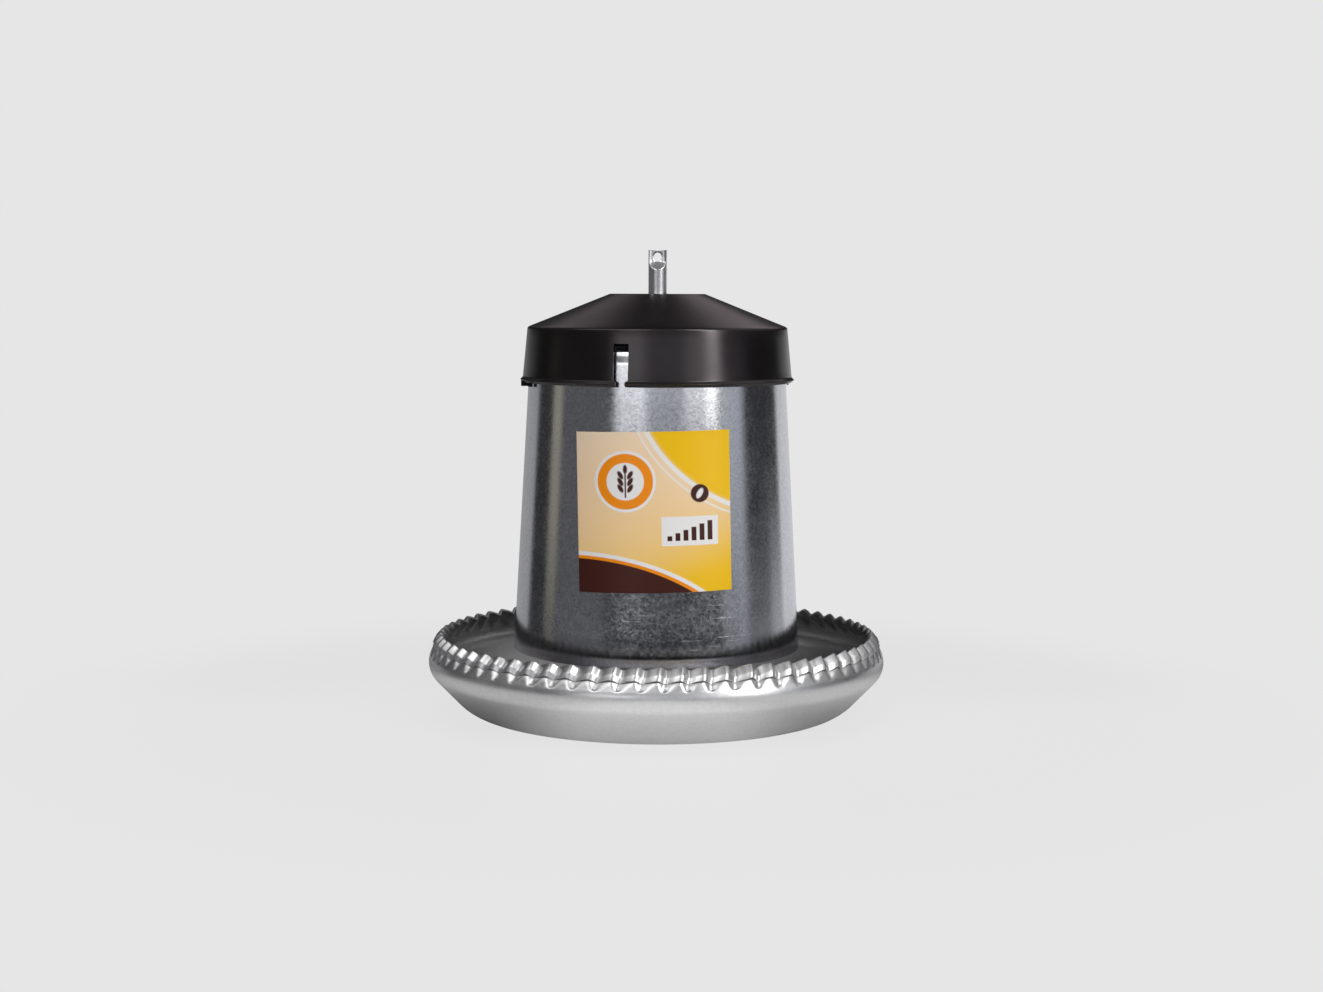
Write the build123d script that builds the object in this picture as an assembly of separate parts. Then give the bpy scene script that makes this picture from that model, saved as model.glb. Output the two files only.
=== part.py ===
from build123d import *
import os
from math import atan2, cos, pi, radians, sin, sqrt, tan

# A hanging poultry feeder: a sheet steel pan with a crimped rim, a tapered hopper over it,
# a tube up the middle that carries both, and a plastic lid that slides up the tube.
# Millimetres, Z up, origin at the centre of the pan's underside, front towards -Y.
# Azimuths are degrees from the front, positive towards +X. Slopes are degrees from level.

# Pan
sheet = 0.7
base_flat_radius = 110.0
base_corner_radius = 30.0
wall_slope = 45.0
belly_radius = 150.0            # widest outside radius
belly_height = 34.0
belly_bend_radius = 14.0        # bend that turns the wall inward
boss_radius = 17.0              # raised centre that clears the tube's foot
boss_foot_radius = 29.0
boss_height = 5.6               # underside of the boss above the ground

# Crimped rim of the pan
flute_count = 66
join_flute_angle = 6.4          # the wider flute where the crimping ends meet
join_azimuth = 17.1
flute_depth = 1.6               # half of the height from a valley to a ridge
flute_tilt = 50.0               # direction in which the flutes push the sheet
flute_lean = 0.45               # how much steeper the flutes fall on their right than they rise
flute_twist = 0.93              # how far round the flutes run on from the crest to their foot
facets_per_flute = 6
fade_start = 39.6               # height on the belly bend where the flutes begin
fade_end = 43.9                 # height on the belly bend where they are at full depth
crimp_ledge = 0.15              # the crimping rolls leave this fine ledge where the flutes begin
hem_step = 1.0                  # the folded edge stands this proud of the sheet below it
hem_skirt_height = 3.0          # steep outer stretch of the fold, down to its cut edge
hem_skirt_slope = 66.0
hem_top_width = 4.3             # level width of the sloping top of the fold
hem_top_slope = 47.0
crest_width = 1.4               # level width of the fold at the crest
crest_drop = 1.8

# Hopper
hopper_sheet = 0.6
hopper_bottom = 43.0
hopper_height = 195.7
hopper_bottom_radius = 94.0     # outside
hopper_top_radius = 83.0        # outside
seam_azimuth = 180.0
seam_angle = 8.0                # width of the lapped seam

# Strap across the hopper
strap_width = 20.0
strap_sheet = 1.5
strap_flange = 18.0
strap_weld_gap = 0.02
strap_hole_clearance = 0.5

# Centre tube
tube_radius = 6.0
tube_wall = 0.9
tube_top = 303.0
pinch_flat_length = 7.8         # top stretch where the front and back walls are pressed together
pinch_flat_width = 6.6          # of that stretch, between the curves out to the tube's sides
pinch_side_radius = 3.0
pinch_slope = 45.0              # of the dents below the pressed stretch
pinch_squeeze = 0.1             # how much thinner the pressed walls are than two walls
hang_hole_radius = 2.4
hang_hole_below_top = 4.6
bead_radius = 7.8
bead_height = 2.6
bead_chamfer = 0.65             # height of the bead's sloping shoulders
foot_radius = 8.2
foot_thickness = 1.2
tube_hole_clearance = 0.25

# Height pin
pin_radius = 1.7
pin_hole_clearance = 0.15
pin_half_length = 14.0
pin_head_radius = 3.0
pin_head_thickness = 1.5
pin_height = 58.0
pin_hole_pitch = 12.0
pin_holes_below = 1
pin_holes_above = 2

# Washers under the bead and over the foot
washer_radius = 12.0
washer_thickness = 1.2

# Lid
lid_wall = 1.8
lid_top = 274.6
lid_flat_radius = 31.0
lid_edge_radius = 84.8          # where the roof and the skirt would meet
lid_edge_height = 253.0
lid_edge_round = 2.2
lid_skirt_radius = 87.9         # outside of the skirt at the lip
lip_top = 220.8
lip_bottom = 217.2
lip_reach = 1.7
lip_undercut = 0.45             # how far the lip's bottom lies inside the skirt's outside
lid_hole_clearance = 0.9
lid_collar_wall = 2.4
lid_collar_length = 8.0
lid_seat_gap = 0.3
slot_width = 9.6
slot_top = 243.8
slot_mouth_width = 6.2
slot_azimuth = -15.1
slot_count = 3
slot_corner_radius = 0.8
slot_cut_depth = 12.7           # of the cutter, from inside the hopper's wall to past the lip
rib_count = 6
rib_thickness = 1.6
rib_length = 9.0
catch_azimuth = -83.0
catch_width = 5.0
catch_depth = 3.8
catch_bottom = 215.0
catch_inset = 1.1               # from the inside of the skirt to the catch
stop_azimuth = -71.0
stop_width = 1.2
stop_depth = 2.4
nib_azimuth = 97.0
nib_width = 1.0
nib_depth = 0.9
nib_inset = 1.6                 # from the outside of the skirt to the nib

# Printed label
label_width = 95.0
label_height = 99.6
label_thickness = 0.2
label_gap = 0.1
label_centre_x = -1.7
label_centre_height = 140.1
label_turn = 1.2

# Sizes worked out from the ones above
hopper_top = hopper_bottom + hopper_height
hopper_taper = (hopper_bottom_radius - hopper_top_radius) / hopper_height
tube_hole_radius = tube_radius + tube_hole_clearance
boss_top = boss_height + sheet
bead_bottom = boss_top + washer_thickness
foot_top = boss_height - washer_thickness
strap_bottom = pin_height + pin_radius
pin_hole_radius = pin_radius + pin_hole_clearance
lid_seat = hopper_top + lid_seat_gap
lid_hole_radius = tube_radius + lid_hole_clearance
roof_slope = (lid_top - lid_edge_height) / (lid_edge_radius - lid_flat_radius)
skirt_taper = (lid_skirt_radius - lid_edge_radius) / (lid_edge_height - lip_top)


def hopper_outside(height):
    """Outside radius of the hopper at a height."""
    return hopper_bottom_radius - (height - hopper_bottom) * hopper_taper


def skirt_outside(height):
    """Outside radius of the lid's skirt at a height."""
    return lid_edge_radius + (lid_edge_height - height) * skirt_taper


def roof_outside(radius):
    """Height of the lid's roof at a radius."""
    return lid_top - (radius - lid_flat_radius) * roof_slope


def radial_plane(azimuth):
    """Upright plane through the feeder's axis: X runs outward and Y runs up."""
    angle = radians(azimuth)
    outward = (sin(angle), -cos(angle), 0)
    return Plane(origin=(0, 0, 0), x_dir=outward, z_dir=(-cos(angle), -sin(angle), 0))


def facing_plane(azimuth, radius):
    """Upright plane that faces outward at a radius: X runs round and Y runs up."""
    angle = radians(azimuth)
    outward = (sin(angle), -cos(angle), 0)
    origin = (radius * outward[0], radius * outward[1], 0)
    return Plane(origin=origin, x_dir=(cos(angle), sin(angle), 0), z_dir=outward)


def ring(points, azimuth=0.0, sweep=360.0):
    """Solid of revolution of a closed outline of radius and height points."""
    outline = radial_plane(azimuth) * make_face(Polyline(*points, close=True))
    return revolve(outline, Axis.Z, sweep).solid()


def block(azimuth, inner_radius, width, depth, bottom, top):
    """Upright block that stands across a radius."""
    outline = Pos(0, (bottom + top) / 2) * Rectangle(width, top - bottom)
    return extrude(facing_plane(azimuth, inner_radius) * outline, depth).solid()


# Pan

def flute_angles():
    """Azimuth and wave phase of the corners along the crimped rim."""
    pitch = (360.0 - join_flute_angle) / (flute_count - 1)
    angles = []
    start = join_azimuth
    for flute in range(flute_count):
        width = join_flute_angle if flute == 0 else pitch
        for facet in range(facets_per_flute):
            share = facet / facets_per_flute
            angles.append((radians(start + width * share), 2 * pi * share))
        start += width
    return angles


def rim_wire(radius, height, depth, crest_height):
    """Closed wire round the rim that waves by a depth along the flutes' direction."""
    outward = depth * cos(radians(flute_tilt))
    upward = depth * sin(radians(flute_tilt))
    turn = radians(flute_twist) * (crest_height - height) / (crest_height - fade_start)
    corners = []
    for angle, phase in flute_angles():
        lift = cos(phase + flute_lean * (1 - cos(phase)))
        reach = radius + outward * lift
        place = angle - turn
        corners.append((reach * sin(place), -reach * cos(place), height + upward * lift))
    return Wire.make_polygon(corners)


def belly_radius_at(height, inset):
    """Radius of the belly bend at a height above its centre, on the outside or inset from it."""
    reach = belly_bend_radius - inset
    return belly_radius - belly_bend_radius + sqrt(reach ** 2 - (height - belly_height) ** 2)


def dish_side(inset):
    """Section of one side of the smooth dish, from the boss's hole to the flutes."""
    corner = base_corner_radius - inset
    turn = radians(wall_slope)
    corner_middle = (base_flat_radius + corner * sin(turn / 2), base_corner_radius - corner * cos(turn / 2))
    corner_end = (base_flat_radius + corner * sin(turn), base_corner_radius - corner * cos(turn))
    bend = belly_bend_radius - inset
    bend_centre = belly_radius - belly_bend_radius
    wall_end = (bend_centre + bend * sin(turn), belly_height - bend * cos(turn))
    rim_start = (belly_radius_at(fade_start, inset), fade_start)
    return [
        Line((tube_hole_radius, boss_height + inset), (boss_radius, boss_height + inset)),
        Line((boss_radius, boss_height + inset), (boss_foot_radius, inset)),
        Line((boss_foot_radius, inset), (base_flat_radius, inset)),
        ThreePointArc((base_flat_radius, inset), corner_middle, corner_end),
        Line(corner_end, wall_end),
        ThreePointArc(wall_end, (bend_centre + bend, belly_height), rim_start),
    ]


def make_pan():
    """Pressed dish whose edge is folded outward over itself and crimped into flutes."""
    outer_start = belly_radius_at(fade_start, 0)
    inner_start = belly_radius_at(fade_start, sheet)
    hole_side = Line((tube_hole_radius, boss_height), (tube_hole_radius, boss_top))
    rim_start = Line((outer_start, fade_start), (inner_start, fade_start))
    outline = Wire([*dish_side(0), rim_start, *dish_side(sheet), hole_side])
    dish = revolve(radial_plane(join_azimuth) * make_face(outline), Axis.Z)
    faces = dish.faces()
    rim_face = max(faces.filter_by(GeomType.PLANE), key=lambda face: face.center().Z)

    foot = belly_radius_at(fade_end, 0)
    lean = atan2(fade_end - belly_height, foot - belly_radius + belly_bend_radius)
    cut_edge = (foot + hem_step * cos(lean), fade_end + hem_step * sin(lean))
    bend = (cut_edge[0] - hem_skirt_height / tan(radians(hem_skirt_slope)), cut_edge[1] + hem_skirt_height)
    crest = (bend[0] - hem_top_width, bend[1] + hem_top_width * tan(radians(hem_top_slope)))
    inner_fold = (crest[0] - crest_width, crest[1] - crest_drop)
    inner_foot = (belly_radius_at(fade_end, 0) - sheet / cos(lean), fade_end)
    fluted = [(foot, fade_end), cut_edge, bend, crest, inner_fold, inner_foot]

    outer_wire = rim_wire(outer_start - crimp_ledge, fade_start, 0, crest[1])
    inner_wire = rim_wire(inner_start + crimp_ledge, fade_start, 0, crest[1])
    waves = [rim_wire(*point, flute_depth, crest[1]) for point in fluted]
    wires = [outer_wire, *waves, inner_wire]
    skin = [face for face in faces if face is not rim_face]
    skin.append(Face(rim_face.outer_wire(), [outer_wire]))
    skin.append(Face(inner_wire, [rim_face.inner_wires()[0]]))
    for lower, upper in zip(wires, wires[1:]):
        skin.extend(Face.make_surface_from_curves(lower, upper).faces())
    return Solid(Shell(skin))


# Hopper and the strap inside it

def hopper_wall(inner_gap, outer_gap, bottom, top, azimuth=0.0, sweep=360.0):
    """Piece of a cone that follows the hopper's outside at two distances from it."""
    points = [
        (hopper_outside(bottom) + inner_gap, bottom),
        (hopper_outside(bottom) + outer_gap, bottom),
        (hopper_outside(top) + outer_gap, top),
        (hopper_outside(top) + inner_gap, top),
    ]
    return ring(points, azimuth, sweep)


def make_hopper():
    """Rolled sheet cone, lapped and welded along one seam at the back."""
    wall = hopper_wall(-hopper_sheet, 0, hopper_bottom, hopper_top)
    start = seam_azimuth - seam_angle / 2
    lap = hopper_wall(-hopper_sheet / 2, hopper_sheet, hopper_bottom, hopper_top, start, seam_angle)
    return (wall + lap).solid()


def make_bridge():
    """Flat strap with turned up ends that lie against the hopper's wall."""
    outer = -hopper_sheet - strap_weld_gap
    ends = hopper_wall(outer - strap_sheet, outer, strap_bottom, strap_bottom + strap_flange)
    disc_points = [
        (0, strap_bottom),
        (hopper_outside(strap_bottom) + outer, strap_bottom),
        (hopper_outside(strap_bottom + strap_sheet) + outer, strap_bottom + strap_sheet),
        (0, strap_bottom + strap_sheet),
    ]
    reach = Box(2 * hopper_bottom_radius, strap_width, 2 * hopper_top)
    hole = Cylinder(tube_radius + strap_hole_clearance, 2 * hopper_top)
    return ((ends + ring(disc_points)) & reach).solid() - hole


# Tube, pin and washers

def cross_hole(radius, height):
    """Cutter for a hole through the tube, front to back."""
    return Pos(0, 0, height) * Rot(90, 0, 0) * Cylinder(radius, 4 * tube_radius)


def pinch_dents(growth):
    """Cutters that press the tube's top together from the front and the back."""
    axis_offset = tube_wall - pinch_squeeze / 2 + pinch_side_radius
    run = 4 * tube_radius
    slope = radians(pinch_slope)
    bend_height = tube_top - pinch_flat_length
    path = Polyline(
        (0, -axis_offset, tube_top + run),
        (0, -axis_offset, bend_height),
        (0, -axis_offset - run * cos(slope), bend_height - run * sin(slope)),
    )
    outline = SlotCenterToCenter(pinch_flat_width, 2 * (pinch_side_radius + growth))
    mouth = Pos(0, -axis_offset, tube_top + run) * outline
    front = sweep(mouth, path, transition=Transition.RIGHT)
    return front + front.rotate(Axis.Z, 180)


def make_tube():
    """Tube with a flared foot and a stop bead below, pin holes, and a pinched, pierced top."""
    bottom = foot_top - foot_thickness
    outside = ring([
        (0, bottom),
        (foot_radius, bottom),
        (foot_radius, foot_top),
        (tube_radius, foot_top),
        (tube_radius, bead_bottom),
        (bead_radius, bead_bottom + bead_chamfer),
        (bead_radius, bead_bottom + bead_height - bead_chamfer),
        (tube_radius, bead_bottom + bead_height),
        (tube_radius, tube_top),
        (0, tube_top),
    ])
    bore = Pos(0, 0, tube_top / 2) * Cylinder(tube_radius - tube_wall, tube_top)
    tube = (outside - pinch_dents(0)) - (bore - pinch_dents(tube_wall))
    for number in range(-pin_holes_below, pin_holes_above + 1):
        tube -= cross_hole(pin_hole_radius, pin_height + number * pin_hole_pitch)
    tube -= cross_hole(hang_hole_radius, tube_top - hang_hole_below_top)
    return tube.solid()


def make_pin():
    """Straight pin through the tube, with a flat head at the front."""
    shaft = Pos(0, 0, pin_height) * Rot(90, 0, 0) * Cylinder(pin_radius, 2 * pin_half_length)
    head_middle = -pin_half_length - pin_head_thickness / 2
    head = Pos(0, head_middle, pin_height) * Rot(90, 0, 0) * Cylinder(pin_head_radius, pin_head_thickness)
    return (shaft + head).solid()


def make_washer(bottom):
    """Flat washer round the tube."""
    return ring([
        (tube_hole_radius, bottom),
        (washer_radius, bottom),
        (washer_radius, bottom + washer_thickness),
        (tube_hole_radius, bottom + washer_thickness),
    ])


# Lid

def lid_slot(azimuth):
    """Cutter for a slot up the skirt, with a narrower mouth through the lip."""
    below = lip_bottom - lid_wall
    wide = Pos(0, (lip_top + slot_top) / 2) * Rectangle(slot_width, slot_top - lip_top)
    mouth = Pos(0, (below + slot_top) / 2) * Rectangle(slot_mouth_width, slot_top - below)
    outline = wide + mouth
    shoulders = outline.vertices().group_by(Axis.Y)[1]
    outline = fillet(shoulders, slot_corner_radius)
    inside = facing_plane(azimuth, hopper_top_radius - lid_wall)
    return extrude(inside * outline, slot_cut_depth)


def lid_rib(azimuth):
    """Rib in the corner under the roof that stands on the hopper's edge."""
    inner = skirt_outside(lid_seat) - lid_wall - rib_length
    roof = roof_outside(inner) - lid_wall / 2
    corner = lid_edge_height - lid_wall
    outline = Polyline(
        (inner, lid_seat),
        (skirt_outside(lid_seat) - lid_wall / 2, lid_seat),
        (skirt_outside(corner) - lid_wall / 2, corner),
        (inner, roof),
        close=True,
    )
    return extrude(radial_plane(azimuth) * make_face(outline), rib_thickness / 2, both=True)


def make_lid():
    """Moulded cap with a low roof, a slotted skirt, a thin lip, seat ribs, a catch and a collar."""
    outside = Polyline(
        (lid_hole_radius, lid_top),
        (lid_flat_radius, lid_top),
        (lid_edge_radius, lid_edge_height),
        (lid_skirt_radius, lip_top),
        (lid_skirt_radius + lip_reach, (lip_top + lip_bottom) / 2),
        (lid_skirt_radius - lip_undercut, lip_bottom),
        (lid_skirt_radius - lid_wall, lip_bottom),
        (lid_skirt_radius - lid_wall, lip_top),
        (lid_edge_radius - lid_wall, lid_edge_height - lid_wall),
        (lid_flat_radius, lid_top - lid_wall),
        (lid_hole_radius + lid_collar_wall, lid_top - lid_wall),
        (lid_hole_radius + lid_collar_wall, lid_top - lid_collar_length),
        (lid_hole_radius, lid_top - lid_collar_length),
        close=True,
    )
    section = make_face(outside)
    edge_corner = section.vertices().sort_by_distance((lid_edge_radius, lid_edge_height))[0]
    section = fillet(edge_corner, lid_edge_round)
    lid = revolve(radial_plane(0) * section, Axis.Z)
    for number in range(rib_count):
        spread = 360 / rib_count
        lid += lid_rib(slot_azimuth + spread / 2 + number * spread)
    for number in range(slot_count):
        lid -= lid_slot(slot_azimuth + number * 360 / slot_count)
    catch_radius = lid_skirt_radius - lid_wall - catch_inset
    lip_middle = (lip_top + lip_bottom) / 2
    lid += block(catch_azimuth, catch_radius, catch_width, catch_depth, catch_bottom, lip_middle)
    lid += block(stop_azimuth, catch_radius, stop_width, stop_depth, catch_bottom, lip_middle)
    lid += block(nib_azimuth, lid_skirt_radius - nib_inset, nib_width, nib_depth, catch_bottom, lip_middle)
    return lid.solid()


def make_label():
    """Printed sheet stuck to the front of the hopper, a little crooked."""
    low = label_centre_height - label_height
    high = label_centre_height + label_height
    skin = hopper_wall(label_gap, label_gap + label_thickness, low, high, -90, 180)
    centre = Pos(label_centre_x, label_centre_height) * Rot(0, 0, label_turn)
    outline = centre * Rectangle(label_width, label_height)
    return (skin & extrude(facing_plane(0, 0) * outline, 2 * hopper_bottom_radius)).solid()


nodes = {
    "pan": make_pan(),
    "hopper": make_hopper(),
    "hopper_bridge": make_bridge(),
    "centre_tube": make_tube(),
    "height_pin": make_pin(),
    "upper_washer": make_washer(boss_top),
    "lower_washer": make_washer(foot_top),
    "lid": make_lid(),
    "label": make_label(),
}

os.makedirs("parts", exist_ok=True)
for name, shape in nodes.items():
    export_step(shape, "parts/" + name + ".step")
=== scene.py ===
from math import cos, degrees, exp, pi, radians, sin, sqrt, tan

import bmesh
import bpy
from mathutils import Euler, Matrix, Vector


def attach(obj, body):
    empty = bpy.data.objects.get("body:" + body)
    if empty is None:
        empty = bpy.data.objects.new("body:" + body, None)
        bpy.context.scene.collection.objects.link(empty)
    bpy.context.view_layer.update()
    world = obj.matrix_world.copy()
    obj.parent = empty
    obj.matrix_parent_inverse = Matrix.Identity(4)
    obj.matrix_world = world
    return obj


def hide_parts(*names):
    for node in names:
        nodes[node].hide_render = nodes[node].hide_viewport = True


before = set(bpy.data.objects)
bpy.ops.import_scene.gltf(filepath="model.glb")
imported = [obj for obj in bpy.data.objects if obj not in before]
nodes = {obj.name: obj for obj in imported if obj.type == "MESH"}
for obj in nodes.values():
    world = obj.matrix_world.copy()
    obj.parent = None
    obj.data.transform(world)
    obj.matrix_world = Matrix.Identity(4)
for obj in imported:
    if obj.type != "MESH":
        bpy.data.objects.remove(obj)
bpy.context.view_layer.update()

# Lengths are in millimetres, but for the camera and the lights. Azimuth 0 is the front, to the
# right it is positive, and elevations are above the ground
MM = 0.001
scene = bpy.context.scene


# Camera: in front, a little under the tube's top, looking slightly down

CAMERA_PLACE = (0.0, -1.380, 0.2735)
LENS, SENSOR_WIDTH = 57.25, 36.0
PITCH_DOWN, YAW, ROLL = 0.0950, -0.00223, radians(0.22)


def make_camera():
    data = bpy.data.cameras.new("camera")
    data.sensor_width = SENSOR_WIDTH
    data.lens = LENS
    data.clip_start = 0.05
    data.clip_end = 50.0
    made = bpy.data.objects.new("camera", data)
    scene.collection.objects.link(made)
    made.location = CAMERA_PLACE
    aim = Euler((pi / 2 - PITCH_DOWN, 0.0, YAW), "XYZ").to_matrix()
    made.rotation_euler = (aim @ Matrix.Rotation(ROLL, 3, "Z")).to_euler()
    return made


camera = make_camera()
bpy.context.scene.camera = camera
scene.view_settings.view_transform = "Standard"
scene.view_settings.look = "None"
scene.view_settings.exposure = 0.0
scene.view_settings.gamma = 1.0


# Small language for shader maths

class Value:
    """A float socket that makes Math nodes when it is added, multiplied and so on."""

    def __init__(self, tree, socket):
        self.tree = tree
        self.socket = socket

    def math(self, kind, *others):
        node = self.tree.nodes.new("ShaderNodeMath")
        node.operation = kind
        self.tree.links.new(self.socket, node.inputs[0])
        for place, other in enumerate(others, 1):
            if isinstance(other, Value):
                self.tree.links.new(other.socket, node.inputs[place])
            else:
                node.inputs[place].default_value = other
        return Value(self.tree, node.outputs[0])

    def __add__(self, other):
        return self.math("ADD", other)

    def __sub__(self, other):
        return self.math("SUBTRACT", other)

    def __mul__(self, other):
        return self.math("MULTIPLY", other)

    def __truediv__(self, other):
        return self.math("DIVIDE", other)

    def sqrt(self):
        return self.math("SQRT")

    def at_most(self, other):
        return self.math("MINIMUM", other)

    def at_least(self, other):
        return self.math("MAXIMUM", other)

    def ramp(self, low, high, out_low=0.0, out_high=1.0):
        """Smooth step from one value to another."""
        node = self.tree.nodes.new("ShaderNodeMapRange")
        node.interpolation_type = "SMOOTHSTEP"
        self.tree.links.new(self.socket, node.inputs["Value"])
        node.inputs["From Min"].default_value = low
        node.inputs["From Max"].default_value = high
        node.inputs["To Min"].default_value = out_low
        node.inputs["To Max"].default_value = out_high
        return Value(self.tree, node.outputs["Result"])

    def between(self, low, high, soft):
        """1 between two values and 0 outside, with an edge that reaches as far as soft each way."""
        rise = self.ramp(low - soft, low + soft)
        return rise * self.ramp(high - soft, high + soft, 1.0, 0.0)


def split_vector(tree, socket, count=3):
    """The first parts of a vector socket, as values."""
    split = tree.nodes.new("ShaderNodeSeparateXYZ")
    tree.links.new(socket, split.inputs[0])
    return [Value(tree, split.outputs[axis]) for axis in range(count)]


def join_colour(tree, parts):
    """Colour socket from three values."""
    join = tree.nodes.new("ShaderNodeCombineColor")
    for place, part in enumerate(parts):
        tree.links.new(part.socket, join.inputs[place])
    return join.outputs[0]


class Look:
    """A material with helpers for its coordinates, textures and mixes."""

    def __init__(self, name):
        self.material = bpy.data.materials.new(name)
        self.material.use_nodes = True
        self.tree = self.material.node_tree
        self.shader = self.tree.nodes["Principled BSDF"]
        self.coordinates = self.tree.nodes.new("ShaderNodeTexCoord")

    def node(self, kind):
        return self.tree.nodes.new(kind)

    def place(self):
        """Object coordinates in millimetres: x, y and z."""
        return [part * (1.0 / MM) for part in split_vector(self.tree, self.coordinates.outputs["Object"])]

    def normal(self):
        return split_vector(self.tree, self.coordinates.outputs["Normal"])

    def uv(self):
        return split_vector(self.tree, self.coordinates.outputs["UV"], 2)

    def vector(self, *parts):
        """Vector socket from values or numbers."""
        node = self.node("ShaderNodeCombineXYZ")
        for place, part in enumerate(parts):
            if isinstance(part, Value):
                self.tree.links.new(part.socket, node.inputs[place])
            else:
                node.inputs[place].default_value = part
        return node.outputs[0]

    def noise(self, vector, scale=1.0, detail=3.0, roughness=0.55, distortion=0.0):
        node = self.node("ShaderNodeTexNoise")
        self.tree.links.new(vector, node.inputs["Vector"])
        node.inputs["Scale"].default_value = scale
        node.inputs["Detail"].default_value = detail
        node.inputs["Roughness"].default_value = roughness
        node.inputs["Distortion"].default_value = distortion
        return Value(self.tree, node.outputs["Fac"])

    def cells(self, vector, scale):
        """A random value from 0 to 1 for each crystal."""
        node = self.node("ShaderNodeTexVoronoi")
        self.tree.links.new(vector, node.inputs["Vector"])
        node.inputs["Scale"].default_value = scale
        split = self.node("ShaderNodeSeparateColor")
        self.tree.links.new(node.outputs["Color"], split.inputs[0])
        return Value(self.tree, split.outputs[0])

    def mix(self, share, first, second):
        """Colour between two colours, each a socket or three numbers."""
        node = self.node("ShaderNodeMix")
        node.data_type = "RGBA"
        self.tree.links.new(share.socket, node.inputs["Factor"])
        for name, part in (("A", first), ("B", second)):
            socket = [s for s in node.inputs if s.name == name and s.type == "RGBA"][0]
            if isinstance(part, tuple):
                socket.default_value = (*part, 1.0)
            else:
                self.tree.links.new(part, socket)
        return [s for s in node.outputs if s.type == "RGBA"][0]

    def grey_times(self, colour, amount):
        """Colour multiplied by a value."""
        node = self.node("ShaderNodeVectorMath")
        node.operation = "SCALE"
        if isinstance(colour, tuple):
            node.inputs[0].default_value = colour
        else:
            self.tree.links.new(colour, node.inputs[0])
        self.tree.links.new(amount.socket, node.inputs["Scale"])
        return node.outputs[0]

    def bump(self, height, strength, distance):
        node = self.node("ShaderNodeBump")
        node.inputs["Strength"].default_value = strength
        node.inputs["Distance"].default_value = distance
        self.tree.links.new(height.socket, node.inputs["Height"])
        self.tree.links.new(node.outputs[0], self.shader.inputs["Normal"])

    def colour(self, socket):
        self.tree.links.new(socket, self.shader.inputs["Base Color"])

    def roughness(self, value):
        self.tree.links.new(value.socket, self.shader.inputs["Roughness"])

    def set(self, **values):
        for name, value in values.items():
            self.shader.inputs[name.replace("_", " ")].default_value = value


# Materials of the metal and the plastic

def azimuth_of(x, y):
    """Angle round the axis in radians, as a value."""
    return x.math("ARCTAN2", y * -1.0)


def facing_inward(look):
    """How far a surface faces the feeder's axis or straight up, from its own normal."""
    x, y = look.place()[:2]
    across, along, up = look.normal()
    reach = (x * x + y * y).sqrt().at_least(1.0)
    outward = (x * across + y * along) / reach
    return up * 0.5 - outward


def make_galvanised(name, radius, tone, rough, mottle, scratch_top, brushed=0.0, inside=1.0):
    """Zinc-coated sheet: fine crystals, cloudy patches, and rubbed lines round the piece.

    Mottle is the contrast of the crystals. The rubbed lines reach up to scratch_top. Brushed is
    the strength of the upright grain. Inside is the brightness of what faces the axis: painted shade."""
    look = Look(name)
    x, y, height = look.place()
    azimuth = azimuth_of(x, y)
    arc = azimuth * radius
    flat = look.vector(x, y, height)
    crystals = look.cells(flat, scale=0.62)
    fine = look.noise(flat, scale=0.80, detail=3.0, roughness=0.75)
    clouds = look.noise(flat, scale=0.045, detail=4.0, roughness=0.62, distortion=0.6)
    grain_up = look.noise(look.vector(arc * 0.9, height * 0.10), detail=3.0, roughness=0.6)
    lines = look.noise(look.vector(arc * 0.03, height * 3.4, azimuth), detail=2.0, roughness=0.5)
    rubbed = lines.ramp(0.68, 0.74) * height.ramp(scratch_top - 30.0, scratch_top, 1.0, 0.10)
    bright = (crystals - 0.5) * (0.80 * mottle) + (fine - 0.5) * (3.0 * mottle)
    bright = bright + (clouds - 0.5) * (1.2 * mottle) + (grain_up - 0.5) * (0.5 * mottle)
    bright = bright + rubbed * 0.16 + 1.0
    # Painted shade: surfaces that face the axis or straight up are darkened, for the shade inside the
    # pan.
    if inside < 1.0:
        bright = bright * facing_inward(look).ramp(0.1, 0.4, 1.0, inside)
    look.colour(look.grey_times(tone, bright))
    uneven = (clouds - 0.5) * 0.14 + (crystals - 0.5) * 0.05 + (fine - 0.5) * 0.10
    look.roughness((uneven + rubbed * 0.12 + rough).at_least(0.06))
    relief = crystals * 0.3 + fine * 0.8 + grain_up * brushed + rubbed * -0.5
    look.bump(relief, strength=0.12, distance=0.00010)
    look.set(Metallic=1.0)
    return look.material


def make_black_plastic(radius):
    """Warm black moulded plastic, satin, with faint flow marks and small scuffs."""
    clean, marked = (0.0030, 0.0024, 0.0024), (0.009, 0.0075, 0.0075)
    look = Look("black_plastic")
    x, y, height = look.place()
    azimuth = azimuth_of(x, y)
    arc = azimuth * radius
    flat = look.vector(x, y, height)
    grain = look.noise(flat, scale=3.0, detail=3.0, roughness=0.6)
    dull = look.noise(flat, scale=0.05, detail=4.0, roughness=0.6, distortion=0.4)
    dust = look.noise(flat, scale=0.9, detail=5.0, roughness=0.75).ramp(0.68, 0.80)
    streaks = look.vector(arc * 0.10, height * 0.9, azimuth)
    scuffs = look.noise(streaks, detail=4.0, roughness=0.6, distortion=1.5).ramp(0.70, 0.74)
    marks = (dust * 0.35 + scuffs * 0.35).at_most(1.0)
    look.colour(look.mix(marks, clean, marked))
    look.roughness((dull - 0.5) * 0.12 + (grain - 0.5) * 0.05 + marks * 0.08 + 0.23)
    look.bump(grain * 0.6 + scuffs * -0.3, strength=0.10, distance=0.0001)
    look.set(Specular_IOR_Level=0.70, Specular_Tint=(1.0, 0.90, 0.94, 1.0))
    return look.material


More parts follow.
